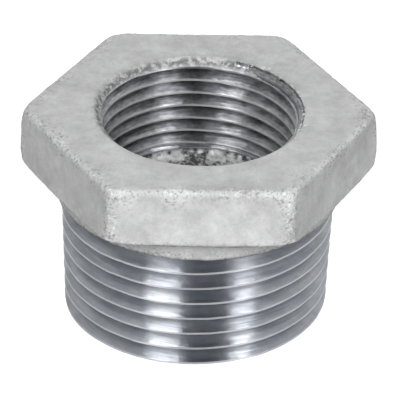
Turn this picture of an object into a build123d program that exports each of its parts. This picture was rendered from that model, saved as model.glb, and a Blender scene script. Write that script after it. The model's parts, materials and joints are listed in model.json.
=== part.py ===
from build123d import *
import math
import os

# Reducing hex bushing for 1 x 3/4 inch pipe, one malleable-iron casting with cut threads.
# Millimetres and degrees. Z runs up the thread axis from the face of the threaded end.

# External taper thread, 1-11.5 NPT
male_end_diameter = 32.6
diameter_taper = 1 / 16
male_pitch = 25.4 / 11.5
crest_width = 0.26
flank_angle = 30.0
first_crest_level = 1.02
end_chamfer = 0.5
spigot_length = 16.8
relief_width = 1.3
relief_undercut = 0.1

# Round collar between the spigot and the head
collar_height = 2.7
collar_step = 1.1
collar_flare = 12.5
collar_bevel = 0.5

# Hexagonal head, widest at its underside
across_flats = 38.3
head_height = 7.7
flank_draft = 2.2
corner_radius = 1.5
top_edge_radius = 0.8
underside_rise = 12.0

# Bore: the seat of the internal thread at its minor diameter, 3/4-14 NPT, then the cast waterway
seat_diameter = 23.5
seat_depth = 12.6
mouth_diameter = 25.7
core_clearance = 0.65
core_draft = 1.0
waterway_chamfer = 0.4

# Levels, radii and slopes that follow from the sizes above
head_underside = spigot_length + collar_height
total_height = head_underside + head_height
flat_radius = across_flats / 2
flank_slope = math.tan(math.radians(flank_angle))
thread_depth = (male_pitch - crest_width) / 2 / flank_slope
taper_angle = math.atan(diameter_taper / 2)
draft_slope = math.tan(math.radians(flank_draft))
rise_slope = math.tan(math.radians(underside_rise))
flare_slope = math.tan(math.radians(collar_flare))


def crest_radius(z):
    """Radius over the male thread's crests at height z."""
    return (male_end_diameter + z * diameter_taper) / 2


def strand(level, reach):
    """One right-hand turn of a helix on the taper, from +X at a level, at a reach beyond the crests."""
    return Helix(
        pitch=male_pitch / math.cos(taper_angle),
        height=male_pitch,
        radius=crest_radius(level) + reach,
        center=(0, 0, level),
        cone_angle=math.degrees(taper_angle),
    )


def screw(bottom, turns):
    """Solid screw on the taper, of ruled strips with common edges: a flank, a crest and a flank a turn."""
    strands = []
    for turn in range(turns):
        level = bottom + turn * male_pitch
        strands.append(strand(level, -thread_depth))
        strands.append(strand(level + (male_pitch - crest_width) / 2, 0))
        strands.append(strand(level + (male_pitch + crest_width) / 2, 0))
    strands.append(strand(bottom + turns * male_pitch, -thread_depth))
    walls = [Face.make_surface_from_curves(below, above) for below, above in zip(strands, strands[1:])]

    # Each end is a step as high as the pitch on +X, and a ramp from the outermost root to the axis
    for end, profile, root in ((0, strands[:4], strands[0]), (1, strands[-4:], strands[-1])):
        corners = [edge @ end for edge in profile]
        foot = (0, 0, corners[0].Z)
        head = (0, 0, corners[-1].Z)
        walls.append(make_face(Polyline(foot, *corners, head, close=True)).face())
        walls.append(Face.make_surface_from_curves(Line(foot, head).edge(), root.edge()))
    return Solid(Shell(walls))


def threaded_spigot():
    """Taper thread, cut off by the end face, its chamfer and the relief groove under the collar."""
    relief_start = spigot_length - relief_width
    relief_depth = thread_depth + relief_undercut
    core_radius = crest_radius(relief_start) - relief_depth
    inside_collar = spigot_length + collar_height / 2
    margin = crest_width
    outline = make_face(
        Polyline(
            (0, 0),
            (crest_radius(0) - end_chamfer, 0),
            (crest_radius(0) + margin, end_chamfer + margin),
            (crest_radius(relief_start) + margin, relief_start - margin * flank_slope),
            (core_radius, relief_start + relief_depth * flank_slope),
            (core_radius, inside_collar),
            (0, inside_collar),
            close=True,
        )
    )

    # On +X a root lies a quarter of a pitch below the lowest crest at the front, on -Y
    root_level = first_crest_level - male_pitch / 4
    bottom = root_level - male_pitch * math.ceil(root_level / male_pitch + 1)
    turns = math.ceil((inside_collar - bottom) / male_pitch)
    return screw(bottom, turns) & revolve(Plane.XZ * outline, Axis.Z)


def head_and_collar():
    """Drafted hexagon whose underside rises to the corners from the bevelled root of the flared collar."""
    below = collar_height * draft_slope
    hexagon = RegularPolygon(flat_radius + below, 6, major_radius=False)
    hexagon = fillet(hexagon.vertices(), corner_radius + below)
    prism = extrude(
        Plane.XY.offset(spigot_length) * hexagon,
        amount=collar_height + head_height,
        taper=flank_draft,
    )

    collar_radius = crest_radius(spigot_length) + collar_step
    clear_height = collar_height - (flat_radius - collar_radius) * rise_slope
    meet_radius = collar_radius + clear_height * flare_slope / (1 - rise_slope * flare_slope)
    meet_level = head_underside - (flat_radius - meet_radius) * rise_slope
    rim_radius = flat_radius / math.cos(math.radians(30)) + collar_step
    rim_level = head_underside + (rim_radius - flat_radius) * rise_slope
    corners = [
        (0, spigot_length),
        (collar_radius, spigot_length),
        (meet_radius, meet_level),
        (rim_radius, rim_level),
        (rim_radius, total_height),
        (0, total_height),
    ]
    outline = make_face(Polyline(*corners, close=True))
    inner_corner = outline.vertices().sort_by_distance((meet_radius, meet_level))[0]
    outline = chamfer(inner_corner, collar_bevel)
    head = prism & revolve(Plane.XZ * outline, Axis.Z)
    top_edges = head.faces().sort_by(Axis.Z)[-1].outer_wire().edges()
    return fillet(top_edges, top_edge_radius)


def through_bore():
    """Everything the bore removes: countersunk mouth, thread seat, ledge and drafted waterway."""
    mouth_radius = mouth_diameter / 2
    seat_radius = seat_diameter / 2
    seat_floor = total_height - seat_depth
    core_top = seat_floor - core_clearance
    core_radius = seat_radius + core_clearance
    core_end = core_radius + core_top * math.tan(math.radians(core_draft))
    outline = make_face(
        Polyline(
            (0, 0),
            (core_end + waterway_chamfer, 0),
            (core_end, waterway_chamfer),
            (core_radius, core_top),
            (seat_radius, seat_floor),
            (seat_radius, total_height - (mouth_radius - seat_radius)),
            (mouth_radius, total_height),
            (0, total_height),
            close=True,
        )
    )
    return revolve(Plane.XZ * outline, Axis.Z)


hex_bushing = threaded_spigot() + head_and_collar() - through_bore()

os.makedirs("parts", exist_ok=True)
export_step(hex_bushing, "parts/hex_bushing.step")
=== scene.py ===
import json
import math

import bpy
import numpy as np
from mathutils import Matrix, Vector


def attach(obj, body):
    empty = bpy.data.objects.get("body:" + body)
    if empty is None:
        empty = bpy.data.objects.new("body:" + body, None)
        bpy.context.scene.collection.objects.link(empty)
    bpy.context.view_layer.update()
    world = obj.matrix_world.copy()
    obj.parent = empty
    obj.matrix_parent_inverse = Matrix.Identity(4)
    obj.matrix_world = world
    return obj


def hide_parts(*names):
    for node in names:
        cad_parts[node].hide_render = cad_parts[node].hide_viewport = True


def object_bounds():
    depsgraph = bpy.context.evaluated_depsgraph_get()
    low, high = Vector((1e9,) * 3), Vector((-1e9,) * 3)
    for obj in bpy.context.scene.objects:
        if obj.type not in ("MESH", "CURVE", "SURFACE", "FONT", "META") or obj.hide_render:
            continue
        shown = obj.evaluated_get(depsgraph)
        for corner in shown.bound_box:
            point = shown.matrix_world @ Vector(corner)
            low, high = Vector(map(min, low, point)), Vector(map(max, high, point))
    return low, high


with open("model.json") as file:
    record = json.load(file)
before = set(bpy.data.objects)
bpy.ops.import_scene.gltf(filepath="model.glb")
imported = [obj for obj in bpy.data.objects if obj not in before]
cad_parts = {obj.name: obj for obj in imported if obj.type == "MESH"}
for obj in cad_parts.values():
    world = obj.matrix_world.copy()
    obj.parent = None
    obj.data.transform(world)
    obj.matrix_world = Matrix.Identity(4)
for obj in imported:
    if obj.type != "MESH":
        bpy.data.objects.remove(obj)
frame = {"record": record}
cad_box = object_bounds()

# Lengths are millimetres in the row frame, and MM turns them into metres. Slopes are tangents.
MM = 0.001

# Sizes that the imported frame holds
TOTAL_HEIGHT = cad_box[1].z / MM
FLAT_RADIUS = cad_box[1].y / MM
MOUNTS = {mount["name"]: mount for mount in frame["record"]["mounts"]}
SEAT_RADIUS = MOUNTS["female_thread"]["dims"]["r_mm"]
SEAT_LENGTH = MOUNTS["female_thread"]["dims"]["length_mm"]
SEAT_FLOOR = MOUNTS["female_thread"]["pos_m"][2] / MM - SEAT_LENGTH / 2

# Head and collar. The photograph shows a slimmer, less flared collar and a flatter underside than the solid
# has, and they are made so here.
HEAD_UNDERSIDE = 19.5
CORNER_RADIUS = 1.5
FLANK_DRAFT = math.tan(math.radians(2.2))
TOP_EDGE_RADIUS = 0.8
UNDERSIDE_RISE = math.tan(math.radians(9.0))
UNDERSIDE_EDGE = 0.3
UNDERSIDE_LIP = 0.05
COLLAR_BOTTOM = 16.6
COLLAR_RADIUS = 17.55
COLLAR_FLARE = math.tan(math.radians(6.0))
COLLAR_BLEND = 0.35
COLLAR_EDGE = 0.18

# External thread, 1-11.5 NPT, and its relief under the collar
FLANK_SLOPE = math.tan(math.radians(60.0))
MALE_PITCH = 25.4 / 11.5
MALE_CREST = 0.26
MALE_DEPTH = (MALE_PITCH - MALE_CREST) / 2 * FLANK_SLOPE
MALE_END_RADIUS = 16.3
MALE_TAPER = 1 / 32
MALE_PHASE = 1.02
END_CHAMFER = 0.5
RELIEF_START = 15.5
RELIEF_UNDERCUT = 0.1
RELIEF_DEPTH = MALE_DEPTH + RELIEF_UNDERCUT

# Internal thread, 3/4-14 NPT, and its countersunk mouth with a small bevel at the rim
FEMALE_PITCH = 25.4 / 14
FEMALE_CREST = 0.22
FEMALE_DEPTH = (FEMALE_PITCH - FEMALE_CREST) / 2 * FLANK_SLOPE
FEMALE_PHASE = 26.12
FEMALE_RUNOUT = 14.7
FEMALE_END = 26.35
MOUTH_RADIUS = 12.85
MOUTH_BEVEL = 0.12

# Cast waterway below the internal thread
LEDGE = 0.65
WATERWAY_DRAFT = math.tan(math.radians(1.0))
WATERWAY_CHAMFER = 0.4

# Columns of the mesh in half a flat's straight run and in half a corner
STRAIGHT_COLUMNS = 32
CORNER_COLUMNS = 5

# Numbers of rows in each part of the section, some with the one that they share with the part before
MOUTH_ROWS = 8
TOP_ROWS = 24
TOP_EDGE_ROWS = 7
FLANK_ROWS = 27
UNDERSIDE_ROWS = 9
COLLAR_ROWS = 9

# Where rows lie: angles round an edge in degrees, shares of a length, and heights
LOWER_EDGE_ANGLES = (25, 50, 75)
COLLAR_EDGE_ANGLES = (45, 90)
COLLAR_BLEND_SHARES = (0.35, 0.7)
END_FACE_SHARES = (0.5, 1)
THREAD_FLANK_SHARES = (0.42, 0.72, 1)
WATERWAY_LEVELS = (3, 6, 8.5, 10.3, 11.4, 12.2, 12.7, 13, 13.25, 13.5, 13.75)

# A row of a thread that comes closer than this to the thread's end is drawn to it, and rows are made for more
# turns than fit between the ends
HELIX_SNAP = 0.03
SPARE_TURNS = 3

# Passes in which the place of the head's lower edge settles
LOWER_EDGE_PASSES = 4

# Faces that meet at more than this angle, in degrees, are shaded with a sharp edge between them
SHARP_ANGLE = 28

CORE_APOTHEM = FLAT_RADIUS - CORNER_RADIUS
HALF_SIDE = math.radians(30)
FULL_TURN = 2 * math.pi

# Roundness of the crests of both threads, and how far beyond a crest's edge it reaches
CREST_ROUND = 0.09
ROUND_REACH = 0.09

# What a point of the mesh belongs to
SKIN, MALE, BORE, WATERWAY = range(4)


def hexagon_radius(apothem, azimuth):
    """Distance from the axis to a hexagon with round corners, one of them on +X."""
    corner_radius = np.maximum(apothem - CORE_APOTHEM, 0)
    from_corner = np.abs((azimuth + HALF_SIDE) % (2 * HALF_SIDE) - HALF_SIDE)
    from_flat = HALF_SIDE - from_corner
    centre = CORE_APOTHEM / math.cos(HALF_SIDE)
    reach = np.maximum(corner_radius**2 - (centre * np.sin(from_corner)) ** 2, 0)
    round_part = centre * np.cos(from_corner) + np.sqrt(reach)
    on_flat = apothem * np.tan(from_flat) <= CORE_APOTHEM * math.tan(HALF_SIDE)
    return np.where(on_flat, apothem / np.cos(from_flat), round_part)


def flank_apothem(height):
    """Distance from the axis to the head's drafted flats at a height."""
    return FLAT_RADIUS - (height - HEAD_UNDERSIDE) * FLANK_DRAFT


def column_azimuths():
    """Azimuths of the mesh's columns: even along the head's flats, closer together round its corners."""
    straight_run = CORE_APOTHEM * math.tan(HALF_SIDE)
    along = np.linspace(0, straight_run, STRAIGHT_COLUMNS, endpoint=False)
    turn = np.linspace(0, HALF_SIDE, CORNER_COLUMNS, endpoint=False)
    corner_side = straight_run + CORNER_RADIUS * np.sin(turn)
    corner = np.arctan2(corner_side, CORE_APOTHEM + CORNER_RADIUS * np.cos(turn))
    half = np.concatenate([np.arctan2(along, FLAT_RADIUS), corner])
    side = np.concatenate([[-HALF_SIDE], -half[:0:-1], half])
    return np.concatenate([HALF_SIDE * (2 * k + 1) + side for k in range(6)])


def groove(distance, pitch, crest):
    """Depth of a 60 degree groove below the crests, at a distance along the axis from a crest's middle.
    The crest's edges are rounded a little."""
    from_crest = np.abs((distance + pitch / 2) % pitch - pitch / 2)
    depth = (from_crest - crest / 2) * FLANK_SLOPE
    return (depth + np.sqrt(depth**2 + CREST_ROUND**2)) / 2


def male_crest_height(azimuth):
    """Height of the lowest whole crest of the external thread."""
    return MALE_PHASE + MALE_PITCH * (azimuth + math.pi / 2) / FULL_TURN


def male_radius(height, azimuth):
    """Radius of the external thread's surface, with its end chamfer and its relief."""
    distance = height - male_crest_height(azimuth)
    thread = MALE_END_RADIUS + height * MALE_TAPER - groove(distance, MALE_PITCH, MALE_CREST)
    chamfer = MALE_END_RADIUS - END_CHAMFER + height * (1 + MALE_TAPER)
    relief_depth = np.clip((height - RELIEF_START) * FLANK_SLOPE, 0, RELIEF_DEPTH)
    relief = MALE_END_RADIUS + RELIEF_START * MALE_TAPER - relief_depth
    return np.minimum(np.minimum(thread, chamfer), relief)


def female_crest_height(azimuth):
    """Height of the highest crest of the internal thread."""
    return FEMALE_PHASE + FEMALE_PITCH * (azimuth - math.pi / 2) / FULL_TURN


def female_radius(height, azimuth):
    """Radius of the internal thread's surface, with its countersunk mouth and plain floor."""
    cut = groove(height - female_crest_height(azimuth), FEMALE_PITCH, FEMALE_CREST)
    lead_in = np.maximum((FEMALE_END - height) * FLANK_SLOPE, 0)
    runout = FEMALE_DEPTH * np.clip((height - FEMALE_RUNOUT) * FLANK_SLOPE, 0, 1)
    countersink = MOUTH_RADIUS - (TOTAL_HEIGHT - height)
    return np.maximum(SEAT_RADIUS + np.minimum(np.minimum(cut, lead_in), runout), countersink)


def thread_offsets(crest, pitch):
    """Heights above a crest's middle of the rows that follow a thread, along its edges and between them."""
    flank = (pitch - crest) / 2
    up = [crest / 2, crest / 2 + ROUND_REACH, *(crest / 2 + flank * share for share in THREAD_FLANK_SHARES)]
    return [-crest / 2, *up, pitch - crest / 2 - flank / 2, pitch - crest / 2 - ROUND_REACH]


class Grid:
    """A closed skin of rows round the section and columns round the axis."""

    def __init__(self):
        self.azimuth = column_azimuths()
        self.parts = []
        self.count = 0
        self.rows = []
        self.materials = []

    def add(self, azimuth, radius, height, zone):
        """Adds points and returns their indices."""
        azimuth, radius, height = np.broadcast_arrays(azimuth, radius, height)
        self.parts.append((azimuth, radius, height, np.full(azimuth.shape, zone)))
        self.count += azimuth.size
        return np.arange(self.count - azimuth.size, self.count)

    def ring(self, radius, height, zone):
        """Adds a row that closes on itself."""
        ids = self.add(self.azimuth, radius, height, zone)
        self.rows.append(np.append(ids, ids[0]))
        self.materials.append(zone)

    def helix(self, low, high, pitch, start, offsets, surface, zone, downwards):
        """Adds rows between two levels that climb a pitch in each turn, and so lie along the thread's edges.
        start is the height of a crest at azimuth 0, and offsets are the rows' heights above a crest."""
        turns = math.ceil((high - low) / pitch) + SPARE_TURNS
        first = start + pitch * (math.floor((low - start) / pitch) - 1)
        steps = np.array([first + pitch * turn + offset for turn in range(turns) for offset in offsets])
        height = steps[:, None] + pitch * self.azimuth[None, :] / FULL_TURN
        azimuth = np.broadcast_to(self.azimuth, height.shape)
        low_ring = self.add(self.azimuth, surface(low, self.azimuth), low, zone)
        high_ring = self.add(self.azimuth, surface(high, self.azimuth), high, zone)
        ids = np.where(height < low + HELIX_SNAP, low_ring, high_ring)
        inside = (height >= low + HELIX_SNAP) & (height <= high - HELIX_SNAP)
        turned, raised = azimuth[inside], height[inside]
        ids[inside] = self.add(turned, surface(raised, turned), raised, zone)
        seam = np.full(len(steps), high_ring[0])
        seam[: -len(offsets)] = ids[len(offsets):, 0]
        rows = [
            np.append(low_ring, low_ring[0]),
            *np.column_stack([ids, seam]),
            np.append(high_ring, high_ring[0]),
        ]
        self.rows.extend(reversed(rows) if downwards else rows)
        self.materials.extend([zone] * len(rows))

    def faces(self):
        """The faces between each row and the next, the last and the first too, and each face's material."""
        found, materials = [], []
        next_rows = self.rows[1:] + self.rows[:1]
        zones = self.materials[1:] + self.materials[:1]
        for row, after, zone in zip(self.rows, next_rows, zones):
            a, b, c, d = row[:-1], row[1:], after[1:], after[:-1]
            whole = (a != d) & (b != c)
            left = (a == d) & (b != c)
            right = (a != d) & (b == c)
            found.append(np.column_stack([a, d, c, b])[whole])
            found.append(np.column_stack([a, c, b, b])[left])
            found.append(np.column_stack([a, d, b, b])[right])
            materials.append(np.full(int(whole.sum() + left.sum() + right.sum()), zone))
        return np.concatenate(found), np.concatenate(materials)

    def points(self):
        """Azimuth, radius, height and zone of every point."""
        return [np.concatenate([part[k].ravel() for part in self.parts]) for k in range(4)]


def section_arc(centre, radius, angles):
    """Points of a round in section: the angle is measured from straight up towards the outside."""
    return [(centre[0] + radius * math.sin(a), centre[1] + radius * math.cos(a)) for a in np.radians(angles)]


def add_mouth(grid):
    """Countersink at the top of the bore, up to the foot of its rim's small bevel."""
    foot = TOTAL_HEIGHT - (MOUTH_RADIUS - SEAT_RADIUS)
    for height in np.linspace(foot, TOTAL_HEIGHT - MOUTH_BEVEL, MOUTH_ROWS)[1:]:
        grid.ring(female_radius(height, grid.azimuth), height, BORE)


def add_top_face(grid):
    """Flat top of the head, from the bore's rim, and the round of its outer edge."""
    edge_height = TOTAL_HEIGHT - TOP_EDGE_RADIUS
    draft_angle = math.atan(FLANK_DRAFT)
    edge_apothem = flank_apothem(edge_height) - TOP_EDGE_RADIUS / math.cos(draft_angle)
    rim = hexagon_radius(edge_apothem, grid.azimuth)
    inner = MOUTH_RADIUS + MOUTH_BEVEL
    for share in np.linspace(0, 1, TOP_ROWS):
        grid.ring(inner + (rim - inner) * share, TOTAL_HEIGHT, SKIN)
    angles = np.linspace(0, 90 - math.degrees(draft_angle), TOP_EDGE_ROWS)[1:]
    for apothem, height in section_arc((edge_apothem, edge_height), TOP_EDGE_RADIUS, angles):
        grid.ring(hexagon_radius(apothem, grid.azimuth), height, SKIN)


def underside_height(radius):
    """Height of the head's rising underside at a radius."""
    return HEAD_UNDERSIDE + (radius - FLAT_RADIUS) * UNDERSIDE_RISE


def lower_edge(azimuth):
    """Distance from the axis to the head's lower edge, where its flats meet the rising underside."""
    corner = hexagon_radius(FLAT_RADIUS, azimuth)
    for _ in range(LOWER_EDGE_PASSES):
        corner = hexagon_radius(flank_apothem(underside_height(corner)), azimuth)
    return corner


def add_flanks(grid):
    """Drafted flats of the head and the small round of their lower edge.
    Returns that edge's distance from the axis in each column."""
    corner = lower_edge(grid.azimuth)
    bottom = underside_height(corner)
    top = TOTAL_HEIGHT - TOP_EDGE_RADIUS * (1 - FLANK_DRAFT)
    for share in np.linspace(0, 1, FLANK_ROWS)[1:]:
        height = top + (bottom + UNDERSIDE_EDGE - top) * share
        grid.ring(hexagon_radius(flank_apothem(height), grid.azimuth), height, SKIN)
    for angle in np.radians(LOWER_EDGE_ANGLES):
        radius = corner - UNDERSIDE_EDGE * (1 - math.cos(angle))
        height = bottom + UNDERSIDE_EDGE * (1 - math.sin(angle)) - UNDERSIDE_LIP * math.sin(angle)
        grid.ring(radius, height, SKIN)
    return corner


def add_underside_and_collar(grid, corner):
    """Rising underside of the head, and the flared collar under it, as far as the thread's relief."""
    drop = HEAD_UNDERSIDE - COLLAR_BOTTOM - (FLAT_RADIUS - COLLAR_RADIUS) * UNDERSIDE_RISE
    meet_radius = COLLAR_RADIUS + drop * COLLAR_FLARE / (1 - UNDERSIDE_RISE * COLLAR_FLARE)
    meet_height = underside_height(meet_radius)
    outer = corner - UNDERSIDE_EDGE
    inner = meet_radius + COLLAR_BLEND
    for share in np.linspace(0, 1, UNDERSIDE_ROWS):
        radius = outer + (inner - outer) * share
        grid.ring(radius, underside_height(radius), SKIN)
    for share in COLLAR_BLEND_SHARES:
        radius = meet_radius + COLLAR_BLEND * (1 - share) ** 2
        grid.ring(radius, meet_height - COLLAR_BLEND * share**2, SKIN)
    top = meet_height - COLLAR_BLEND
    for share in np.linspace(0, 1, COLLAR_ROWS):
        height = top + (COLLAR_BOTTOM + COLLAR_EDGE - top) * share
        grid.ring(COLLAR_RADIUS + (height - COLLAR_BOTTOM) * COLLAR_FLARE, height, SKIN)
    for angle in np.radians(COLLAR_EDGE_ANGLES):
        radius = COLLAR_RADIUS - COLLAR_EDGE * (1 - math.cos(angle))
        grid.ring(radius, COLLAR_BOTTOM + COLLAR_EDGE * (1 - math.sin(angle)), SKIN)
    root = MALE_END_RADIUS + RELIEF_START * MALE_TAPER - RELIEF_DEPTH
    grid.ring(MALE_END_RADIUS, COLLAR_BOTTOM, MALE)
    grid.ring(root, COLLAR_BOTTOM, MALE)


def add_waterway(grid):
    """End face of the spigot, the drafted cast waterway and the ledge under the internal thread."""
    top = SEAT_FLOOR - LEDGE
    narrow = SEAT_RADIUS + LEDGE
    wide = narrow + top * WATERWAY_DRAFT
    root = male_radius(0, grid.azimuth)
    for share in END_FACE_SHARES:
        grid.ring(root + (wide + WATERWAY_CHAMFER - root) * share, 0, MALE)
    grid.ring(wide + WATERWAY_CHAMFER / 2, WATERWAY_CHAMFER / 2, WATERWAY)
    for height in (WATERWAY_CHAMFER, *WATERWAY_LEVELS, top):
        grid.ring(wide - height * WATERWAY_DRAFT, height, WATERWAY)
    grid.ring((narrow + SEAT_RADIUS) / 2, SEAT_FLOOR - LEDGE / 2, WATERWAY)


def bushing_grid():
    """The whole bushing: out of the bore, over the head, down the spigot and back up the waterway."""
    grid = Grid()
    grid.helix(
        SEAT_FLOOR, TOTAL_HEIGHT - (MOUTH_RADIUS - SEAT_RADIUS), FEMALE_PITCH, female_crest_height(0),
        thread_offsets(FEMALE_CREST, FEMALE_PITCH), female_radius, BORE, downwards=False,
    )
    add_mouth(grid)
    add_top_face(grid)
    corner = add_flanks(grid)
    add_underside_and_collar(grid, corner)
    grid.helix(
        0, RELIEF_START + RELIEF_DEPTH / FLANK_SLOPE, MALE_PITCH, male_crest_height(0),
        thread_offsets(MALE_CREST, MALE_PITCH), male_radius, MALE, downwards=True,
    )
    add_waterway(grid)
    return grid


# Whole numbers that scramble a cell's place and a seed into a random value
CELL_KEYS = np.array([73856093, 19349663, 83492791])
SEED_KEY = 7919
SCRAMBLES = ((13, 1274126177), (15, 1103515245))
KEY_BITS = 0x7FFFFFFF
SEED_SHIFT = 17.31


def smooth_noise(points, scale, seed):
    """A smooth random field between -1 and 1 at rows of x, y and z, with features as wide as the scale."""
    spots = points / scale + seed * SEED_SHIFT
    cell = np.floor(spots).astype(np.int64)
    part = spots - cell
    part = part * part * (3 - 2 * part)
    total = np.zeros(len(points))
    for corner in np.ndindex(2, 2, 2):
        key = (cell + corner) @ CELL_KEYS + seed * SEED_KEY
        for shift, factor in SCRAMBLES:
            key = (key ^ (key >> shift)) * factor & KEY_BITS
        weight = np.prod(np.where(corner, part, 1 - part), axis=1)
        total += weight * (key / 2**30 - 1)
    return total


def noise_layers(points, layers, level=0.0):
    """A level with layers of noise on it, each given by its height, its features' width and its seed."""
    for height, width, seed in layers:
        level = level + height * smooth_noise(points, width, seed)
    return level


def near(distance, width):
    """1 at no distance, falling off smoothly over the width."""
    return np.exp(-((distance / width) ** 2))


def point_normals(points, faces):
    """Unit normals at the points, from the faces round them."""
    a, b, c, d = (points[faces[:, k]] for k in range(4))
    across = np.cross(c - a, d - b)
    total = np.zeros_like(points)
    for k in range(4):
        np.add.at(total, faces[:, k], across)
    return total / np.maximum(np.linalg.norm(total, axis=1), 1e-9)[:, None]


def edge_distances(azimuth, radius, height):
    """Distances of points of the head from its top edge, its upright corners and its lower edge."""
    from_corner = np.abs((azimuth + HALF_SIDE) % (2 * HALF_SIDE) - HALF_SIDE)
    apothem = radius * np.cos(HALF_SIDE - from_corner)
    from_top = np.hypot(flank_apothem(TOTAL_HEIGHT) - apothem, TOTAL_HEIGHT - height)
    corner = FLAT_RADIUS / math.cos(HALF_SIDE)
    from_upright = np.hypot(corner - radius * np.cos(from_corner), radius * np.sin(from_corner))
    brim = lower_edge(azimuth)
    from_lower = np.hypot(brim - radius, underside_height(brim) - height)
    return from_top, from_upright, from_lower


def wall_distance(azimuth, start, end):
    """Degrees from a point's azimuth into a sector of the wall: positive inside, negative outside."""
    middle = (start + end) / 2
    away = (np.degrees(azimuth) - middle + 180) % 360 - 180
    return (end - start) / 2 - np.abs(away)


def sector_share(azimuth, sector, soft):
    """1 inside a sector of the wall and 0 outside it, softly from one to the other at its ends, over as many
    degrees to each side of them as soft says."""
    return np.clip((wall_distance(azimuth, *sector) + soft) / (2 * soft), 0, 1)


# Noise is given as the width of its features and its seed, and layers have its height first.
# Sectors are in degrees from +X towards +Y.

# Cast skin: its mean level, its lumps, and the lumps that come with roughness
SKIN_LEVEL = -0.07
SKIN_LAYERS = ((0.04, 4.5, 1), (0.014, 1.6, 2), (0.004, 0.6, 3))
ROUGH_LAYERS = ((0.045, 0.8, 4), (0.035, 0.45, 5))

# Pits: how much of the noise makes none, and their depth on smooth skin and what roughness adds
PIT_NOISE = (0.5, 6)
PIT_START = 0.3
PIT_DEPTH = 0.02
ROUGH_PIT_DEPTH = 0.18

# Blunted tips of the head's corners, at the top edge and at the lower edge: depth and width
TOP_TIP = (0.38, 1.2)
LOWER_TIP = (0.25, 1.1)

# Roughness: its band on the top edge and how the band's width varies, then the upright corners, the lower
# edge, the collar and the mouth, and the patches in all but the mouth's
TOP_BAND = 1.05
SPILL_NOISE = (2.6, 17)
SPILL = 1.1
SPILL_LIMITS = (0.35, 2)
UPRIGHT_START = 0.5
UPRIGHT_BAND = 0.7
LOWER_ROUGHNESS = 0.7
LOWER_BAND = 0.6
COLLAR_ROUGHNESS = 0.9
COLLAR_BAND = 1.0
COLLAR_BAND_LEVEL = 0.2
COLLAR_REACH = 0.8
MOUTH_ROUGHNESS = 0.55
PATCH_NOISE = (3.0, 11)
PATCH_MEAN = 0.75
PATCH_SPREAD = 0.45

# Zinc on the mouth: how far inside and below the rim its middle lies, its width, its sector, and what is left
# of it outside the sector
MOUTH_ZINC_INSIDE = 0.45
MOUTH_ZINC_BELOW = 0.55
MOUTH_ZINC_WIDTH = 0.68
MOUTH_ZINC_SECTOR = (20, 215)
MOUTH_ZINC_SOFT = 20
MOUTH_ZINC_LEAST = 0.15

# Painted shade on the lower edge of the head's front flat and round the collar's bottom edge, where shade
# falls
EDGE_SHADE_WIDTH = 0.3
EDGE_SHADE_SECTOR = (-112, -68)
EDGE_SHADE_SOFT = 6
COLLAR_SHADE_WIDTH = 0.26
COLLAR_SHADE_REACH = 0.1


def mouth_share(azimuth, radius, height):
    """How near points are to the middle of the zinc on the bore's mouth, from 0 to 1."""
    inwards = radius - MOUTH_RADIUS + MOUTH_ZINC_INSIDE
    downwards = TOTAL_HEIGHT - MOUTH_ZINC_BELOW - height
    sector = sector_share(azimuth, MOUTH_ZINC_SECTOR, MOUTH_ZINC_SOFT)
    return near(np.hypot(inwards, downwards), MOUTH_ZINC_WIDTH) * np.maximum(sector, MOUTH_ZINC_LEAST)


def head_relief(points, azimuth, radius, height, skin):
    """How far the cast skin stands out of the head's nominal faces, never above 0, and from 0 to 1 how rough
    it is, how near the zinc on the mouth and how near a line of painted shade."""
    from_top, from_upright, from_lower = edge_distances(azimuth, radius, height)
    spill = np.clip(1.0 + SPILL * smooth_noise(points, *SPILL_NOISE), *SPILL_LIMITS)
    edges = near(from_top, TOP_BAND * spill)
    edges += near(np.maximum(from_upright - UPRIGHT_START, 0), UPRIGHT_BAND)
    edges += LOWER_ROUGHNESS * near(from_lower, LOWER_BAND)
    mouth = mouth_share(azimuth, radius, height)
    collar = near(height - COLLAR_BOTTOM - COLLAR_BAND_LEVEL, COLLAR_BAND)
    collar *= radius < COLLAR_RADIUS + COLLAR_REACH
    patchy = PATCH_MEAN + PATCH_SPREAD * smooth_noise(points, *PATCH_NOISE)
    rough = np.clip((edges + COLLAR_ROUGHNESS * collar) * patchy + MOUTH_ROUGHNESS * mouth, 0, 1)

    relief = noise_layers(points, SKIN_LAYERS, SKIN_LEVEL)
    relief += rough * noise_layers(points, ROUGH_LAYERS)
    top_tip = TOP_TIP[0] * near(np.hypot(from_upright, from_top), TOP_TIP[1])
    lower_tip = LOWER_TIP[0] * near(np.hypot(from_upright, from_lower), LOWER_TIP[1])
    relief -= top_tip + lower_tip
    pits = np.clip(smooth_noise(points, *PIT_NOISE) - PIT_START, 0, 1)
    relief -= (PIT_DEPTH + ROUGH_PIT_DEPTH * rough) * pits

    # Painted shade: a darker line along the front flat's lower edge and round the collar's bottom edge
    front = np.clip(wall_distance(azimuth, *EDGE_SHADE_SECTOR) / EDGE_SHADE_SOFT, 0, 1)
    collar_shade = near(height - COLLAR_BOTTOM, COLLAR_SHADE_WIDTH)
    collar_shade *= radius < COLLAR_RADIUS + COLLAR_SHADE_REACH
    painted_edge_shade = np.maximum(near(from_lower, EDGE_SHADE_WIDTH) * front, collar_shade)
    return np.where(skin, np.minimum(relief, 0), 0), rough, mouth, painted_edge_shade


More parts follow.
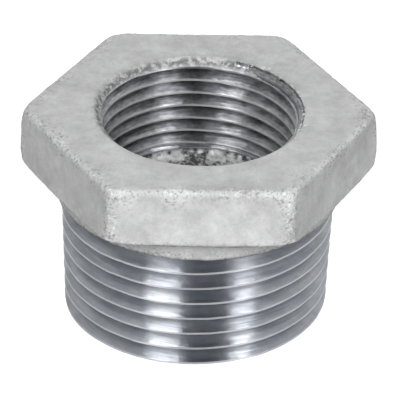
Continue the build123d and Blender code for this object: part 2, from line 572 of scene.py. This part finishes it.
# Wear of the crests: its width, its mean and varying depth, the tears in it, which are most towards -X, and
# how far the crests wander up and down. The internal thread wears less. A painted highlight, lighter and less
# metallic, lies along the crests' edges, and is weaker on the external thread.
CREST_BAND = 0.3
WEAR_LEVEL = 0.03
WEAR_LAYERS = ((0.03, 1.8, 7),)
TEAR_NOISE = (1.1, 8)
TEAR_START = 0.3
TEAR_DEPTH = 0.06
TORN_MEAN = 0.6
TORN_SWING = 0.5
TORN_LEAST = 0.25
WANDER_NOISE = (2.5, 9)
WANDER_STRETCH = (1, 1, 0.2)
WANDER = 0.05
TORN_WANDER_NOISE = (0.9, 10)
TORN_WANDER = 0.03
FEMALE_WEAR = 0.6
MALE_EDGE = 0.3
EDGE_START = 1.6
EDGE_WIDTH = 0.13

# How far from the ends of the threads their wear starts and stops
MALE_WEAR_START = 0.6
FEMALE_WEAR_START = 0.4
FEMALE_WEAR_END = 1.6


def wear_threads(points, azimuth, radius, height, zone):
    """Radius and height of the points once both threads' crests are rubbed down and torn a little, and the
    strength of a painted highlight along the crests' edges.
    """
    band = np.where(zone == MALE, MALE_PITCH, FEMALE_PITCH)
    start = np.where(zone == MALE, male_crest_height(azimuth), female_crest_height(azimuth))
    from_crest = np.abs((height - start + band / 2) % band - band / 2)
    torn = np.clip(-np.cos(azimuth) * TORN_SWING + TORN_MEAN, TORN_LEAST, 1)
    crest = near(from_crest, CREST_BAND)
    tears = np.clip(smooth_noise(points, *TEAR_NOISE) - TEAR_START, 0, 1)
    wear = noise_layers(points, WEAR_LAYERS, WEAR_LEVEL) + TEAR_DEPTH * torn * tears
    wander = WANDER * smooth_noise(points * WANDER_STRETCH, *WANDER_NOISE)
    shift = crest * (wander + TORN_WANDER * torn * smooth_noise(points, *TORN_WANDER_NOISE))
    male = (zone == MALE) & (height > MALE_WEAR_START) & (height < RELIEF_START)
    female = (zone == BORE) & (height > FEMALE_RUNOUT + FEMALE_WEAR_START)
    female &= height < TOTAL_HEIGHT - FEMALE_WEAR_END
    radius = np.where(male, radius - crest * wear, radius)
    radius = np.where(female, radius + crest * wear * FEMALE_WEAR, radius)
    # Painted highlight along the edges of the crests, which the thread materials make lighter and less
    # metallic
    edge = np.clip(EDGE_START - from_crest / EDGE_WIDTH, 0, 1) * (male | female)
    return radius, np.where(male | female, height + shift, height), edge * np.where(male, MALE_EDGE, 1)


# Drops of zinc on the waterway: their sector, the level and width of their band, the azimuths and widths, in
# degrees, of the two thickest, their noise and finer noise, and their height
DROP_SECTOR = (40, 140)
DROP_SOFT = 15
DROP_LEVEL = 13.6
DROP_BAND = 1.1
DROP_SPOTS = ((108, 9), (76, 10))
DROP_SPOT_SHARE = 0.7
DROP_NOISE = (0.9, 12)
DROP_START = 0.1
FINE_DROP_NOISE = (0.5, 13)
FINE_DROP_SHARE = 0.5
DROP_HEIGHT = 0.4


def zinc_blobs(points, azimuth, height):
    """How far frozen drops of zinc stand out of the cast wall under the internal thread."""
    sector = sector_share(azimuth, DROP_SECTOR, DROP_SOFT)
    level = near(height - DROP_LEVEL, DROP_BAND)
    spots = sum(near(wall_distance(azimuth, spot, spot), width) for spot, width in DROP_SPOTS)
    drops = np.clip(smooth_noise(points, *DROP_NOISE) - DROP_START + DROP_SPOT_SHARE * spots, 0, 1)
    drops = drops + FINE_DROP_SHARE * smooth_noise(points, *FINE_DROP_NOISE)
    return DROP_HEIGHT * np.maximum(sector * level * drops, 0)


# Chips of the zinc's edge: their noise, finer noise and its share
CHIP_NOISE = (0.7, 15)
FINE_CHIP_NOISE = (0.35, 16)
FINE_CHIP_SHARE = 0.6

# The mouth, as far outside the rim as the chips reach, and down to just above the foot of the countersink
MOUTH_MARGIN = 0.25
CHIP_MARGIN = 0.3
MOUTH_DEPTH = 1.08

# Its bare band: its sector, the raggedness of its ends in degrees, and the degrees by which each end draws in
# over a millimetre of depth, from a start below the rim
BARE_SECTOR = (-28, 68)
RAGGED_NOISE = (0.9, 14)
RAGGEDNESS = 6
BARE_SLANT = 24
SLANT_START = 0.2

# Chipped rim of the bare band: how far down it goes, its depth, and how much of the noise is chipped
CHIPPED_BAND = 0.35
CHIP_DEPTH = 0.22
CHIP_START = 0.2


bushing_source = bushing_grid()
azimuth, radius, height, zone = bushing_source.points()
nominal = np.column_stack([radius * np.cos(azimuth), radius * np.sin(azimuth), height])
faces, face_zone = bushing_source.faces()
normals = point_normals(nominal, faces)

# The zinc on the countersink ends in a ragged line, and the rest of it is bare metal
chips = smooth_noise(nominal, *CHIP_NOISE) + FINE_CHIP_SHARE * smooth_noise(nominal, *FINE_CHIP_NOISE)
mouth_points = radius < MOUTH_RADIUS + MOUTH_MARGIN + CHIP_MARGIN * chips
mouth_points &= height > TOTAL_HEIGHT - MOUTH_DEPTH
ragged = wall_distance(azimuth, *BARE_SECTOR) + RAGGEDNESS * smooth_noise(nominal, *RAGGED_NOISE)
ragged -= BARE_SLANT * np.clip(TOTAL_HEIGHT - SLANT_START - height, 0, 1)
bare = mouth_points & (ragged > 0)
zinc = (zone == SKIN) | (mouth_points & ~bare)

relief, rough, mouth, painted_edge_shade = head_relief(nominal, azimuth, radius, height, zinc)
chipped = bare & (height > TOTAL_HEIGHT - CHIPPED_BAND)
relief -= chipped * CHIP_DEPTH * np.clip(chips + CHIP_START, 0, 1)
worn_radius, worn_height, crest_highlight = wear_threads(nominal, azimuth, radius, height, zone)
drops = np.where(zone == WATERWAY, zinc_blobs(nominal, azimuth, height), 0)
worn_radius = worn_radius - drops
shaped = np.column_stack([worn_radius * np.cos(azimuth), worn_radius * np.sin(azimuth), worn_height])
shaped += normals * relief[:, None]
face_zone = np.where(zinc[faces].sum(axis=1) >= 3, SKIN, face_zone)


def new_mesh_object(name, points, faces, materials):
    """An object with smooth faces, sharp along the edges of its threads."""
    mesh = bpy.data.meshes.new(name)
    loops = [face[:3].tolist() if face[2] == face[3] else face.tolist() for face in faces]
    mesh.from_pydata(points.tolist(), [], loops)
    mesh.polygons.foreach_set("material_index", materials)
    mesh.shade_smooth()
    mesh.set_sharp_from_angle(angle=math.radians(SHARP_ANGLE))
    made = bpy.data.objects.new(name, mesh)
    bpy.context.scene.collection.objects.link(made)
    return made


bushing = new_mesh_object("hex_bushing_finish", shaped * MM, faces, face_zone)


# What the materials read: how far down the bare band's rim goes, how bare the band is there and below, and
# the height of a drop that counts as a whole one
BARE_RIM = 0.4
BARE_ON_RIM = 1.0
BARE_BELOW = 0.45
WHOLE_DROP = 0.12


def add_point_values(name, values):
    """Gives the bushing's points a number each, for its materials to read."""
    layer = bushing.data.attributes.new(name, "FLOAT", "POINT")
    layer.data.foreach_set("value", values.astype(np.float32))


add_point_values("rough", rough)
add_point_values("mouth", mouth)
# Painted shade along the front flat's lower edge and round the collar's bottom edge
add_point_values("painted_edge_shade", painted_edge_shade)
add_point_values("bare", bare * np.where(height > TOTAL_HEIGHT - BARE_RIM, BARE_ON_RIM, BARE_BELOW))
# Painted highlight along the threads' crest edges
add_point_values("crest_highlight", crest_highlight)
add_point_values("drops", np.clip(drops / WHOLE_DROP, 0, 1))


class Surface:
    """A material of the bushing, and short names for the nodes it's made of. Noise scales are in 1/m."""

    def __init__(self, name, metallic):
        self.material = bpy.data.materials.new(name)
        self.material.use_nodes = True
        self.tree = self.material.node_tree
        self.shader = self.tree.nodes["Principled BSDF"]
        self.shader.inputs["Metallic"].default_value = metallic
        self.place = self.add("ShaderNodeTexCoord").outputs["Object"]
        bushing.data.materials.append(self.material)

    def add(self, kind, **inputs):
        """A node whose inputs, named or numbered as i0, i1 and so on, are numbers or nodes' outputs."""
        made = self.tree.nodes.new(kind)
        for name, value in inputs.items():
            key = int(name[1:]) if name[0] == "i" and name[1:].isdigit() else name
            self.set(made.inputs[key], value)
        return made

    def set(self, socket, value):
        """Links an output to a socket, or writes a number or colour into it."""
        if isinstance(value, bpy.types.NodeSocket):
            self.tree.links.new(value, socket)
        else:
            socket.default_value = value

    def noise(self, scale, stretch=(1, 1, 1), detail=2.0, offset=0.0):
        """Noise about 0.5, drawn out along an axis where the stretch is small."""
        shift = (offset, offset, offset)
        mapped = self.add("ShaderNodeMapping", Vector=self.place, Scale=stretch, Location=shift).outputs[0]
        return self.add("ShaderNodeTexNoise", Vector=mapped, Scale=scale, Detail=detail).outputs[0]

    def ranged(self, value, low, high, start=0.0, end=1.0):
        """A value's range mapped to another, and held at its ends."""
        return self.add("ShaderNodeMapRange", i0=value, i1=low, i2=high, i3=start, i4=end).outputs[0]

    def calculated(self, operation, first, second):
        """Two values put together."""
        made = self.add("ShaderNodeMath", i0=first, i1=second)
        made.operation = operation
        return made.outputs[0]

    def blended(self, factor, first, second):
        """A colour between two."""
        made = self.tree.nodes.new("ShaderNodeMix")
        made.data_type = "RGBA"
        self.set(made.inputs[0], factor)
        self.set(made.inputs[6], first)
        self.set(made.inputs[7], second)
        return made.outputs[2]

    def attribute(self, name):
        """A number kept on the mesh's points."""
        made = self.tree.nodes.new("ShaderNodeAttribute")
        made.attribute_name = name
        return made.outputs["Fac"]

    def bumped(self, height, distance):
        """Uses a height for the surface's fine relief. The distance is in metres."""
        bump = self.add("ShaderNodeBump", Height=height, Distance=distance, Strength=1.0)
        self.set(self.shader.inputs["Normal"], bump.outputs[0])

    def turned(self, amount):
        """Spreads highlights across the tool marks, which run round the axis."""
        self.shader.inputs["Anisotropic"].default_value = amount
        along = self.add("ShaderNodeCombineXYZ", Z=1.0)
        self.set(self.shader.inputs["Tangent"], along.outputs[0])


def grey(level, blue=0.0):
    """A grey, as bright as its level and a little towards blue."""
    return (level, level * (1 + blue / 3), level * (1 + blue), 1)


# Range that nearly all of a noise's values are in
USUAL = (0.3, 0.7)

# Scales of the noise in the materials, in 1/m: even ones, and those along x, y and z
CLOUDS = 260
MOTTLE = 900
GRAIN = 4200
CRUST = 1500
SPECKS = 3000
LUMPS = 1700
STAINS = 420
CAST_GRAINS = 2600
CAST_PATCHES = 900
TOOL_MARKS = (60, 60, 7000)
STREAKS = (170, 170, 1500)
SPECKLE = (1300, 1300, 5000)

# Ranges are the low and high of a noise or a point's value, and then what they are mapped to.

# Zinc skin: its gloss, its fine relief in metres, what makes up its tone, its marks and its greys
ZINC_SPECULAR = 0.06
ZINC_ROUGHNESS = (0.42, 0.66)
ZINC_RELIEF = 0.00006
CLOUD_SHARE = 0.5
MOTTLE_SHARE = 0.35
GRAIN_SHARE = 0.15
CRUST_RANGE = (0.42, 0.54, 0.3, 1.0)
# Dark flecks: deposits, with painted shade of pits
SPECK_SHADE_RANGE = (0.52, 0.68)
SPECK_SHADE_BY_ROUGHNESS = (0.0, 0.6, 0.12, 0.8)
# Painted highlights on bead tops along the edges
BEAD_GLINT_RANGE = (0.54, 0.66)
BEAD_GLINTS_BY_ROUGHNESS = (0.1, 0.8, 0.0, 0.45)
BEAD_GLINTS_BY_MOUTH = (0, 1, 1.0, 0.4)
# Painted shade along the front flat's lower edge and the collar's bottom edge, varied by the clouds
EDGE_SHADE_BY_CLOUDS = (0.35, 0.55, 0.35, 0.95)
FINE_BY_ROUGHNESS = (0, 1, 0.25, 1.0)
LUMPS_BY_ROUGHNESS = (0, 1, 0.3, 2.6)
LUMPS_BY_MOUTH = (0, 1, 1.0, 0.35)
ZINC_DULL = grey(0.37)
ZINC_BRIGHT = grey(0.62, 0.01)
CRUST_GREY = grey(0.13, 0.02)
# Grey of the dark flecks: deposit with painted shade of pits
SPECK_SHADE_GREY = grey(0.18)
# Grey of the painted highlights on bead tops
BEAD_GLINT_GREY = grey(0.84, 0.01)
# Grey of the painted shade along the edges
EDGE_SHADE_GREY = grey(0.06)

# Threads: their stains, the relief of streaks and grit beside the marks', the bare band on the mouth, and the
# painted highlight, lighter and less metallic, along the crests' edges
STAIN_RANGE = (0.3, 0.62, 0.35, 1.0)
STREAK_RELIEF = 1.5
GRIT_RELIEF = 2
BARE_BY_SPECKLE = (0.35, 0.6, 1.0, 0.6)
BARE_GREY = grey(0.07, 0.03)
# Painted highlight along the crests' edges: less metallic and a lighter grey
METALLIC_BY_CREST_HIGHLIGHT = (0, 1, 1.0, 0.5)
CREST_HIGHLIGHT_GREY = grey(0.52, 0.02)

# Waterway: its metal, its gloss by its patches, its fine relief in metres, what makes up its tone, and its
# greys
CAST_METALLIC = 0.6
METALLIC_BY_DROPS = (0, 1, 0.6, 0.1)
CAST_ROUGHNESS = (0.35, 0.65, 0.45, 0.25)
CAST_RELIEF = 0.00015
CAST_PATCH_RANGE = (0.4, 0.65, 0.0, 0.45)
CAST_GRAIN_SPREAD = 0.35
CAST_TONE = (0.05, 0.95)
CAST_DARK = grey(0.1)
CAST_BRIGHT = grey(0.95, 0.01)


def add_zinc_skin():
    """Hot-dip zinc on a casting: cloudy and finely grained, with dark flecks, deposits with painted shade of
    pits, and painted highlights on bead tops along its edges, a darker crust on the mouth, and lines of
    painted shade along the front flat's lower edge and round the collar's bottom edge."""
    skin = Surface("zinc_skin", 0.0)
    skin.shader.inputs["Specular IOR Level"].default_value = ZINC_SPECULAR
    rough = skin.attribute("rough")
    clouds = skin.noise(CLOUDS, detail=4)
    mottle = skin.noise(MOTTLE, detail=3, offset=0.3)
    grain = skin.noise(GRAIN, detail=2, offset=0.7)
    tone = skin.ranged(clouds, *USUAL, 0, CLOUD_SHARE)
    tone = skin.calculated("ADD", tone, skin.ranged(mottle, *USUAL, 0, MOTTLE_SHARE))
    tone = skin.calculated("ADD", tone, skin.ranged(grain, *USUAL, 0, GRAIN_SHARE))
    colour = skin.blended(tone, ZINC_DULL, ZINC_BRIGHT)
    crust = skin.noise(CRUST, detail=4, offset=3.1)
    crust = skin.calculated("MULTIPLY", skin.ranged(crust, *CRUST_RANGE), skin.attribute("mouth"))
    colour = skin.blended(crust, colour, CRUST_GREY)
    # Dark flecks along rough edges: deposits with painted shade of pits
    speck_shade = skin.ranged(skin.noise(SPECKS, detail=3, offset=1.1), *SPECK_SHADE_RANGE)
    speck_shade = skin.calculated("MULTIPLY", speck_shade, skin.ranged(rough, *SPECK_SHADE_BY_ROUGHNESS))
    colour = skin.blended(speck_shade, colour, SPECK_SHADE_GREY)
    # Bright spots along rough edges: painted highlights on bead tops
    bead_glints = skin.ranged(skin.noise(SPECKS, detail=2, offset=2.3), *BEAD_GLINT_RANGE)
    bead_glints = skin.calculated("MULTIPLY", bead_glints, skin.ranged(rough, *BEAD_GLINTS_BY_ROUGHNESS))
    bead_glints = skin.calculated("MULTIPLY", bead_glints, skin.ranged(skin.attribute("mouth"), *BEAD_GLINTS_BY_MOUTH))
    colour = skin.blended(bead_glints, colour, BEAD_GLINT_GREY)
    # Painted shade along the front flat's lower edge and the collar's bottom edge
    edge_shade = skin.calculated("MULTIPLY", skin.ranged(clouds, *EDGE_SHADE_BY_CLOUDS), skin.attribute("painted_edge_shade"))
    colour = skin.blended(edge_shade, colour, EDGE_SHADE_GREY)
    skin.set(skin.shader.inputs["Base Color"], colour)
    skin.set(skin.shader.inputs["Roughness"], skin.ranged(mottle, *USUAL, *ZINC_ROUGHNESS))
    fine = skin.calculated("MULTIPLY", grain, skin.ranged(rough, *FINE_BY_ROUGHNESS))
    lumps = skin.noise(LUMPS, detail=3, offset=1.7)
    lumps = skin.calculated("MULTIPLY", lumps, skin.ranged(rough, *LUMPS_BY_ROUGHNESS))
    lumps = skin.calculated("MULTIPLY", lumps, skin.ranged(skin.attribute("mouth"), *LUMPS_BY_MOUTH))
    skin.bumped(skin.calculated("ADD", fine, lumps), ZINC_RELIEF)


def add_cut_thread(name, colour, dark, roughness, anisotropy, depth, grit):
    """Bare iron with tool marks round it, dull stains and grit, and a painted highlight along its crests'
    edges. The roughness is a range, the marks' depth is in metres, and the grit is a share of the difference
    between the two colours."""
    metal = Surface(name, 1.0)
    marks = metal.noise(1, stretch=TOOL_MARKS, detail=2)
    streaks = metal.noise(1, stretch=STREAKS, detail=3, offset=0.4)
    stains = metal.noise(STAINS, detail=3, offset=0.8)
    speckle = metal.noise(1, stretch=SPECKLE, detail=3, offset=0.2)
    tone = metal.calculated("MULTIPLY", metal.ranged(streaks, *USUAL), metal.ranged(stains, *STAIN_RANGE))
    tone = metal.calculated("ADD", tone, metal.ranged(speckle, *USUAL, -grit, grit))
    tone = metal.blended(metal.ranged(tone, 0, 1), dark, colour)
    bare = metal.calculated("MULTIPLY", metal.attribute("bare"), metal.ranged(speckle, *BARE_BY_SPECKLE))
    tone = metal.blended(bare, tone, BARE_GREY)
    # Painted highlight along the crests' edges: lighter and less metallic
    crest_highlight = metal.attribute("crest_highlight")
    metal.set(metal.shader.inputs["Base Color"], metal.blended(crest_highlight, tone, CREST_HIGHLIGHT_GREY))
    metal.set(metal.shader.inputs["Metallic"], metal.ranged(crest_highlight, *METALLIC_BY_CREST_HIGHLIGHT))
    metal.set(metal.shader.inputs["Roughness"], metal.ranged(stains, *USUAL, *roughness))
    metal.turned(anisotropy)
    height = metal.calculated("ADD", marks, metal.calculated("MULTIPLY", streaks, STREAK_RELIEF))
    height = metal.calculated("ADD", height, metal.calculated("MULTIPLY", speckle, GRIT_RELIEF * grit))
    metal.bumped(height, depth)


def add_cast_waterway():
    """Rough cast wall with patches and drops of bright zinc."""
    wall = Surface("cast_waterway", CAST_METALLIC)
    grains = wall.noise(CAST_GRAINS, detail=4)
    patches = wall.noise(CAST_PATCHES, detail=5, offset=0.9)
    bright = wall.calculated("ADD", wall.ranged(patches, *CAST_PATCH_RANGE), wall.attribute("drops"))
    speckle = wall.ranged(grains, *USUAL, -CAST_GRAIN_SPREAD, CAST_GRAIN_SPREAD)
    bright = wall.calculated("ADD", bright, speckle)
    colour = wall.blended(wall.ranged(bright, *CAST_TONE), CAST_DARK, CAST_BRIGHT)
    wall.set(wall.shader.inputs["Base Color"], colour)
    wall.set(wall.shader.inputs["Metallic"], wall.ranged(wall.attribute("drops"), *METALLIC_BY_DROPS))
    wall.set(wall.shader.inputs["Roughness"], wall.ranged(patches, *CAST_ROUGHNESS))
    wall.bumped(wall.calculated("ADD", grains, patches), CAST_RELIEF)


add_zinc_skin()
add_cut_thread(
    "male_thread", colour=grey(0.43, 0.08), dark=grey(0.28, 0.16), roughness=(0.28, 0.31), anisotropy=1.0,
    depth=0.000035, grit=0.12,
)
add_cut_thread(
    "female_thread", colour=grey(0.5, 0.08), dark=grey(0.2, 0.08), roughness=(0.28, 0.42), anisotropy=0.85,
    depth=0.00005, grit=0.3,
)
add_cast_waterway()

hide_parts("hex_bushing")
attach(bushing, "root")


# Camera, at the photograph's viewing angle
CAMERA_DISTANCE = 0.46834
CAMERA_ELEVATION = 32.33
CAMERA_TURN = -1.3
CAMERA_ROLL = 1.468
CAMERA_AIM = (0.0003256, 0.0, 0.01418)
CAMERA_LENS = 342.7
CAMERA_CLIP_START = 0.01


def add_camera():
    """A long lens that looks down on the front flat."""
    elevation = math.radians(CAMERA_ELEVATION)
    roll = math.radians(CAMERA_ROLL)
    back = Vector((0, -math.cos(elevation), math.sin(elevation)))
    side = Vector((1, 0, 0))
    up = Vector((0, math.sin(elevation), math.cos(elevation)))
    right = side * math.cos(roll) + up * math.sin(roll)
    over = up * math.cos(roll) - side * math.sin(roll)
    place = Vector(CAMERA_AIM) + back * CAMERA_DISTANCE
    turn = Matrix.Rotation(math.radians(CAMERA_TURN), 4, "Z")
    pose = Matrix((right, over, back)).transposed().to_4x4()
    pose.translation = place
    data = bpy.data.cameras.new("camera")
    data.lens = CAMERA_LENS
    data.clip_start = CAMERA_CLIP_START
    camera = bpy.data.objects.new("camera", data)
    camera.matrix_world = turn @ pose
    bpy.context.scene.collection.objects.link(camera)
    bpy.context.scene.camera = camera


# Lamps, cards, floor and world. Distances are in metres, angles in degrees
LAMP_AIM = (0, 0, 0.015)
CARD_DISTANCE = 0.5
CARD_ROWS = 12
CARD_GREY = 0.03
CARD_ROUGHNESS = 0.9
FLOOR_SIZE = 6
FLOOR_DULL = 0.08
FLOOR_PAPER = 0.55
FLOOR_GLOW = 0.75
WORLD_FILL = 0.06


def add_area_light(name, place, width, height, radiance, mirrored=True):
    """A soft box that faces the bushing, which metal mirrors or not."""
    data = bpy.data.lights.new(name, "AREA")
    data.shape = "RECTANGLE"
    data.size = width
    data.size_y = height
    data.energy = radiance * math.pi * width * height
    light = bpy.data.objects.new(name, data)
    light.location = place
    light.rotation_mode = "QUATERNION"
    light.rotation_quaternion = (Vector(LAMP_AIM) - Vector(place)).to_track_quat("-Z", "Y")
    light.visible_camera = False
    light.visible_glossy = mirrored
    bpy.context.scene.collection.objects.link(light)


def around(azimuth, elevation, distance):
    """A place at a distance from the bushing, at an azimuth from the front and an elevation, in degrees."""
    azimuth = math.radians(azimuth)
    elevation = math.radians(elevation)
    level = distance * math.cos(elevation)
    return math.sin(azimuth) * level, -math.cos(azimuth) * level, distance * math.sin(elevation)


def seen_directly(nodes, links):
    """1 on rays from the camera and on those that metal or glass sends on, which then see what it sees."""
    path = nodes.new("ShaderNodeLightPath")
    total = path.outputs["Is Camera Ray"]
    for name in ("Is Glossy Ray", "Is Transmission Ray"):
        step = nodes.new("ShaderNodeMath")
        step.operation = "MAXIMUM"
        links.new(total, step.inputs[0])
        links.new(path.outputs[name], step.inputs[1])
        total = step.outputs[0]
    return total


def add_floor():
    """A plain floor that keeps the shadow. It looks white, and lights the bushing less than white would."""
    bpy.ops.mesh.primitive_plane_add(size=FLOOR_SIZE)
    floor = bpy.context.object
    floor.name = "floor"
    material = bpy.data.materials.new("pale_floor")
    material.use_nodes = True
    nodes, links = material.node_tree.nodes, material.node_tree.links
    nodes.remove(nodes["Principled BSDF"])
    dull = nodes.new("ShaderNodeBsdfDiffuse")
    dull.inputs["Color"].default_value = grey(FLOOR_DULL)
    paper = nodes.new("ShaderNodeBsdfDiffuse")
    paper.inputs["Color"].default_value = grey(FLOOR_PAPER)
    glow = nodes.new("ShaderNodeEmission")
    glow.inputs["Strength"].default_value = FLOOR_GLOW
    both = nodes.new("ShaderNodeAddShader")
    mix = nodes.new("ShaderNodeMixShader")
    links.new(paper.outputs["BSDF"], both.inputs[0])
    links.new(glow.outputs["Emission"], both.inputs[1])
    links.new(seen_directly(nodes, links), mix.inputs["Fac"])
    links.new(dull.outputs["BSDF"], mix.inputs[1])
    links.new(both.outputs["Shader"], mix.inputs[2])
    links.new(mix.outputs["Shader"], nodes["Material Output"].inputs["Surface"])
    floor.data.materials.append(material)


def add_dark_card(turn, foot, top, elevations):
    """A curved dark card over one side of the bushing, for the metal to reflect. It shades nothing.
    turn is its azimuth from the front, foot and top are the angles of its left and right ends from there,
    and elevations are those of its foot and top, all in degrees."""
    points = []
    shares = np.linspace(0, 1, CARD_ROWS)
    for elevation, share in zip(np.radians(np.linspace(*elevations, CARD_ROWS)), shares):
        away = -CARD_DISTANCE * math.cos(elevation)
        up = CARD_DISTANCE * math.sin(elevation)
        for start, end in zip(foot, top):
            side = math.tan(math.radians(start + (end - start) * share))
            points.append((CARD_DISTANCE * side, away, up))
    mesh = bpy.data.meshes.new("dark_card")
    mesh.from_pydata(points, [], [(k, k + 1, k + 3, k + 2) for k in range(0, len(points) - 2, 2)])
    material = bpy.data.materials.new("dark_card")
    material.use_nodes = True
    shader = material.node_tree.nodes["Principled BSDF"]
    shader.inputs["Base Color"].default_value = grey(CARD_GREY)
    shader.inputs["Roughness"].default_value = CARD_ROUGHNESS
    mesh.materials.append(material)
    card = bpy.data.objects.new("dark_card", mesh)
    card.rotation_euler.z = math.radians(turn)
    bpy.context.scene.collection.objects.link(card)
    card.visible_camera = False
    card.visible_diffuse = False
    card.visible_transmission = False
    card.visible_shadow = False


def add_world():
    """Even soft light from all round, and a white background."""
    world = bpy.data.worlds.new("studio")
    world.use_nodes = True
    nodes, links = world.node_tree.nodes, world.node_tree.links
    fill = nodes["Background"]
    fill.inputs["Color"].default_value = grey(WORLD_FILL)
    white = nodes.new("ShaderNodeBackground")
    white.inputs["Color"].default_value = (1, 1, 1, 1)
    mix = nodes.new("ShaderNodeMixShader")
    links.new(seen_directly(nodes, links), mix.inputs["Fac"])
    links.new(fill.outputs["Background"], mix.inputs[1])
    links.new(white.outputs["Background"], mix.inputs[2])
    links.new(mix.outputs["Shader"], nodes["World Output"].inputs["Surface"])
    bpy.context.scene.world = world


# The front and high lamps light the bright strips of the threads, and a card darkens what lies between those.
# The fill lamp lights the zinc and isn't mirrored in the metal.
LAMPS = (
    dict(name="front_left", place=around(-31, 24, 0.7), width=0.35, height=0.5, radiance=5.0),
    dict(name="front_right", place=around(38, 24, 0.7), width=0.27, height=0.5, radiance=5.8),
    dict(name="high_left", place=(-0.265, -0.345, 0.545), width=0.218, height=0.2, radiance=8.0),
    dict(name="high_right", place=(0.319, -0.315, 0.535), width=0.161, height=0.2, radiance=9.0),
    dict(name="back", place=around(180, 12, 0.9), width=0.6, height=0.3, radiance=5.0),
    dict(name="front_fill", place=around(3, 38, 0.8), width=0.35, height=0.35, radiance=4.4, mirrored=False),
)

add_camera()
add_floor()
add_dark_card(turn=0, foot=(-17, 27), top=(-8, 12), elevations=(1, 100))
add_dark_card(turn=-104, foot=(-36, 36), top=(-34, 34), elevations=(2, 19))
for lamp in LAMPS:
    add_area_light(**lamp)
add_world()
bpy.context.scene.view_settings.view_transform = "Standard"
